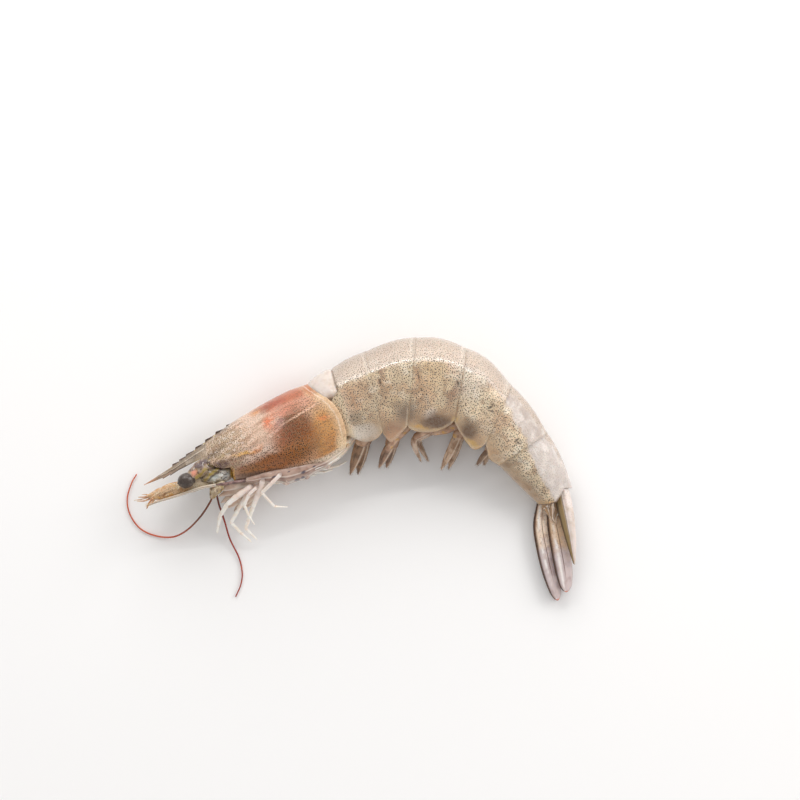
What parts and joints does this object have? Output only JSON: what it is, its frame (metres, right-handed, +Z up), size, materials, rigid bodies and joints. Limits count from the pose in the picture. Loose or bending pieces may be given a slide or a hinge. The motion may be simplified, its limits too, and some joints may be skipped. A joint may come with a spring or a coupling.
{
  "type": "raw whiteleg shrimp",
  "caption": "Raw whole whiteleg shrimp, head on, lying on its side: arched grey-tan body, amber head, toothed rostrum, thin legs, short feelers and folded tail fan.",
  "frame": {"origin": "centre of the flat spot under segment 2 of the abdomen, on which the animal rests", "axes": "+Z up out of its left side, which lies uppermost; +X from the head towards the tail fan; +Y towards the arched back"},
  "size_m": [0.1265, 0.074, 0.0186],
  "materials": {
    "shell": "wet translucent shell, grey-tan with dark specks",
    "head": "wet translucent shell over amber and pink tissue",
    "membrane": "moist soft tissue, pinkish white",
    "eye": "glossy black",
    "antenna": "satin dark red",
    "leg": "moist translucent cream",
    "fan": "wet translucent leaf with brown ribs and lavender lobes"
  },
  "bodies": {
    "root": {"abdomen_1": "shell", "abdomen_2": "shell", "abdomen_3": "shell", "abdomen_4": "shell", "abdomen_5": "shell", "abdomen_6": "shell", "antenna_base_left": "membrane", "antenna_base_right": "membrane", "antenna_left": "antenna", "antenna_right": "antenna", "antennal_scale_left": "shell", "antennal_scale_right": "shell", "antennule_left": "shell", "antennule_right": "shell", "carapace": "head", "eye_left": "eye", "eye_right": "eye", "eyestalk_left": "membrane", "eyestalk_right": "membrane", "face": "membrane", "leg_1_left": "leg", "leg_1_right": "leg", "leg_2_left": "leg", "leg_2_right": "leg", "leg_3_left": "leg", "leg_3_right": "leg", "leg_4_left": "leg", "leg_4_right": "leg", "leg_5_left": "leg", "leg_5_right": "leg", "maxilliped_left": "leg", "maxilliped_right": "leg", "mouthparts": "leg", "neck_membrane": "membrane", "swimmeret_1_left": "shell", "swimmeret_1_right": "shell", "swimmeret_2_left": "shell", "swimmeret_2_right": "shell", "swimmeret_3_left": "shell", "swimmeret_3_right": "shell", "swimmeret_4_left": "shell", "swimmeret_4_right": "shell", "swimmeret_5_left": "shell", "swimmeret_5_right": "shell", "telson": "fan", "thorax_underside": "membrane", "uropod_inner_left": "fan", "uropod_inner_right": "fan", "uropod_outer_left": "fan", "uropod_outer_right": "fan", "uropod_stem_left": "fan", "uropod_stem_right": "fan"}
  },
  "joints": []
}
